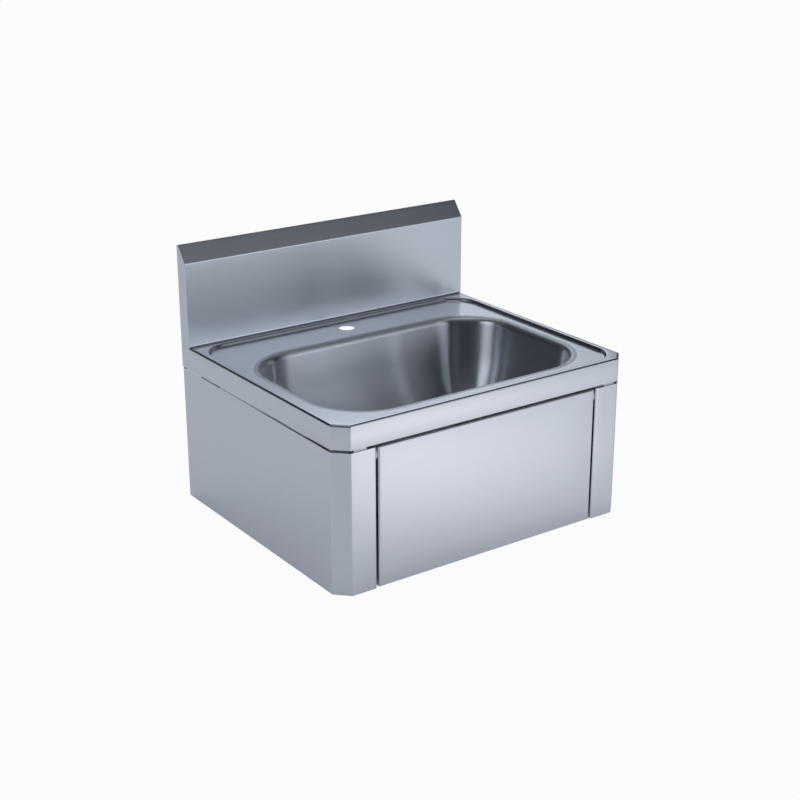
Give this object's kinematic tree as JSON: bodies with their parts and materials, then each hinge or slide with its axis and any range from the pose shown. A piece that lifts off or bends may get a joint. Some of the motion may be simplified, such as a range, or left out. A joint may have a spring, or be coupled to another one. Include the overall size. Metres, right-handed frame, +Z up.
{
  "type": "wall-hung hand-wash basin",
  "caption": "Wall-hung stainless steel hand-wash basin with a tall upstand, a drawn bowl and a knee panel that works a self-closing valve.",
  "frame": {"origin": "on the wall, at the centre of the rectangle of four wall fixing holes in the casing's flanges", "axes": "+X to the right along the wall, +Y into the wall, +Z up"},
  "size_m": [0.45, 0.38, 0.354],
  "materials": {
    "satin_steel": "brushed along the width",
    "mill_steel": "mill finish",
    "bright_steel": "bright",
    "nickel": "nickel plated",
    "brass": "cast and turned",
    "rubber": "moulded",
    "nylon": "moulded",
    "waste_plastic": "moulded"
  },
  "bodies": {
    "basin": {"deck": "satin_steel", "upstand": "satin_steel", "bowl": "satin_steel", "left_casing": "satin_steel", "right_casing": "satin_steel", "left_hangers": "mill_steel", "right_hangers": "mill_steel", "wall_bracket": "mill_steel", "valve_rail": "mill_steel", "rail_screws": "bright_steel", "rail_nuts": "bright_steel", "left_hinge_pin": "bright_steel", "right_hinge_pin": "bright_steel", "hinge_nuts": "bright_steel", "left_buffer": "rubber", "right_buffer": "rubber", "valve_body": "brass", "valve_bonnet": "brass", "valve_locknut": "brass", "return_spring": "bright_steel", "cold_inlet": "nickel", "hot_inlet": "nickel", "valve_outlet": "nickel", "strainer": "bright_steel", "strainer_screw": "bright_steel", "strainer_seal": "rubber", "waste_seal": "rubber", "waste_body": "waste_plastic"},
    "knee_panel": {"knee_panel": "satin_steel", "panel_stiffener": "mill_steel", "striker_pad": "rubber", "left_hinge_bush": "nylon", "right_hinge_bush": "nylon"},
    "plunger": {"valve_plunger": "bright_steel", "push_cap": "nylon"}
  },
  "joints": [
    {"name": "knee_push", "type": "hinge", "parent": "basin", "child": "knee_panel", "pos_m": [0, -0.37, 0.08], "axis": [1, 0, 0], "range_deg": [0, 4.5], "stiffness_Nm_per_rad": 8, "springref_deg": -8.59},
    {"name": "plunger_slide", "type": "slide", "parent": "basin", "child": "plunger", "axis": [0, 1, 0], "range_m": [0, 0.0112], "stiffness_N_per_m": 100, "springref_m": -0.02, "deforming": ["return_spring"]}
  ],
  "couplings": [
    {"joint": "plunger_slide", "follows": "knee_push", "m_per_rad": 0.138}
  ]
}
